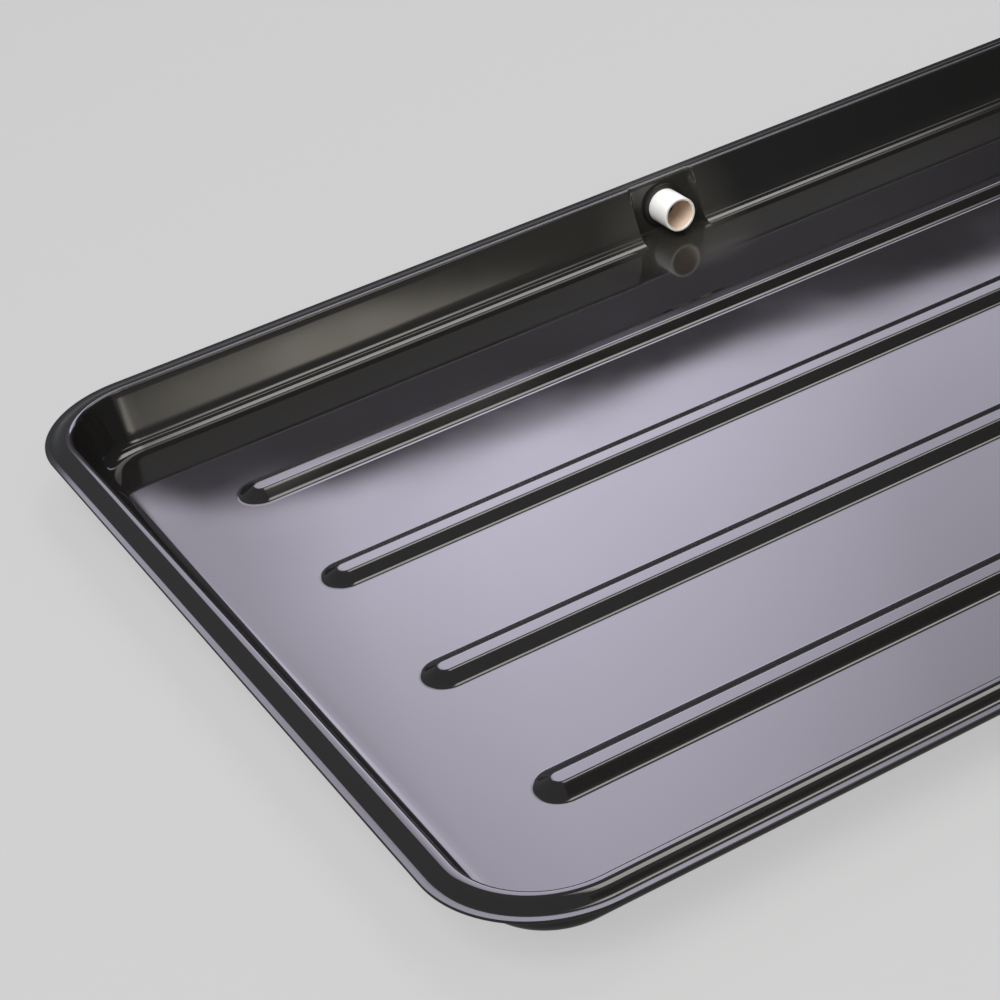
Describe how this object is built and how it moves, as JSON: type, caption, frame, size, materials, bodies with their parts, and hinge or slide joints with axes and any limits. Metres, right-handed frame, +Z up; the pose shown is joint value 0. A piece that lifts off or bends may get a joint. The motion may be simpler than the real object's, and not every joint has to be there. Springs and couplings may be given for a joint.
{
  "type": "drip tray",
  "caption": "Long shallow rectangular drip tray with raised ribs, a rolled rim and a drain tube through a rubber grommet in its back wall.",
  "frame": {"origin": "centre of the tray's flat underside, on the surface it rests on", "axes": "+X along the ribs and the long side, +Y towards the wall with the outlet, +Z up"},
  "size_m": [0.783, 0.5165, 0.0325],
  "materials": {
    "pan_plastic": "high gloss, as formed",
    "grommet_rubber": "satin moulded rubber",
    "tube_plastic": "smooth white, slightly satin"
  },
  "bodies": {
    "tray": {"tray_pan": "pan_plastic", "outlet_grommet": "grommet_rubber"},
    "outlet": {"outlet_tube": "tube_plastic"}
  },
  "joints": [
    {"name": "outlet_slide", "type": "slide", "parent": "tray", "child": "outlet", "axis": [0, 1, 0], "range_m": [-0.013, 0.017]}
  ]
}
